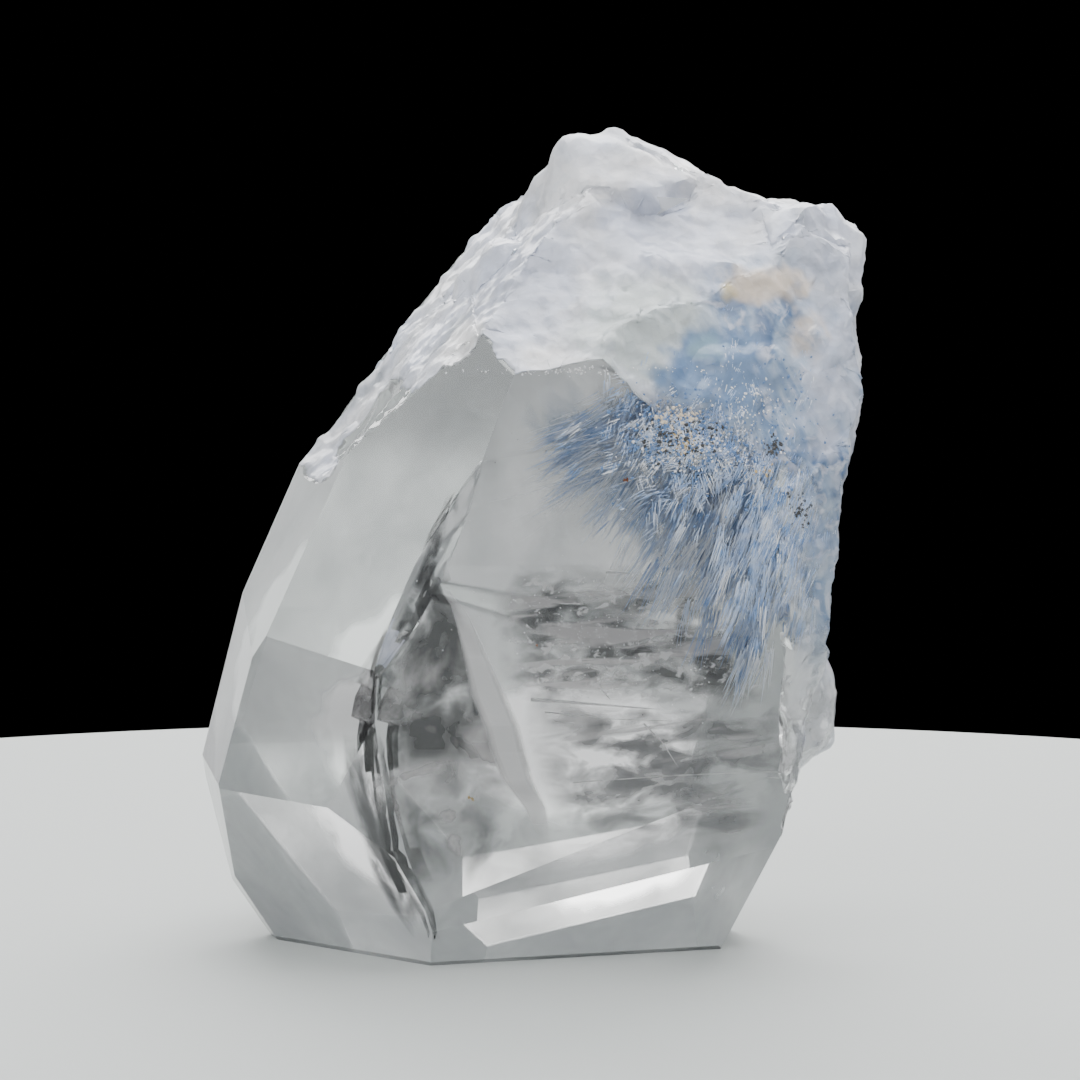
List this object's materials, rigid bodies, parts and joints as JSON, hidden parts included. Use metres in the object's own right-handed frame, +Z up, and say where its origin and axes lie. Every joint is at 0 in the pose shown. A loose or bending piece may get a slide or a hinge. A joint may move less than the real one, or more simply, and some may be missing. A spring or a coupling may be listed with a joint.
{
  "type": "dumortierite quartz crystal",
  "caption": "Clear quartz crystal with blue dumortierite fibres inside, frosty and broken at its upper end, standing on a flat underside.",
  "frame": {"origin": "under the middle of the crystal, at the level of its flat underside", "axes": "+Z up as the crystal stands, -Y out of its large flat front face, +X towards its broken right side"},
  "size_m": [0.0144, 0.0102, 0.0175],
  "materials": {
    "clear_quartz": "water-clear flat crystal faces, frosty white where the crystal is broken, blue fibres inside"
  },
  "bodies": {
    "root": {"quartz_crystal": "clear_quartz"}
  },
  "joints": []
}
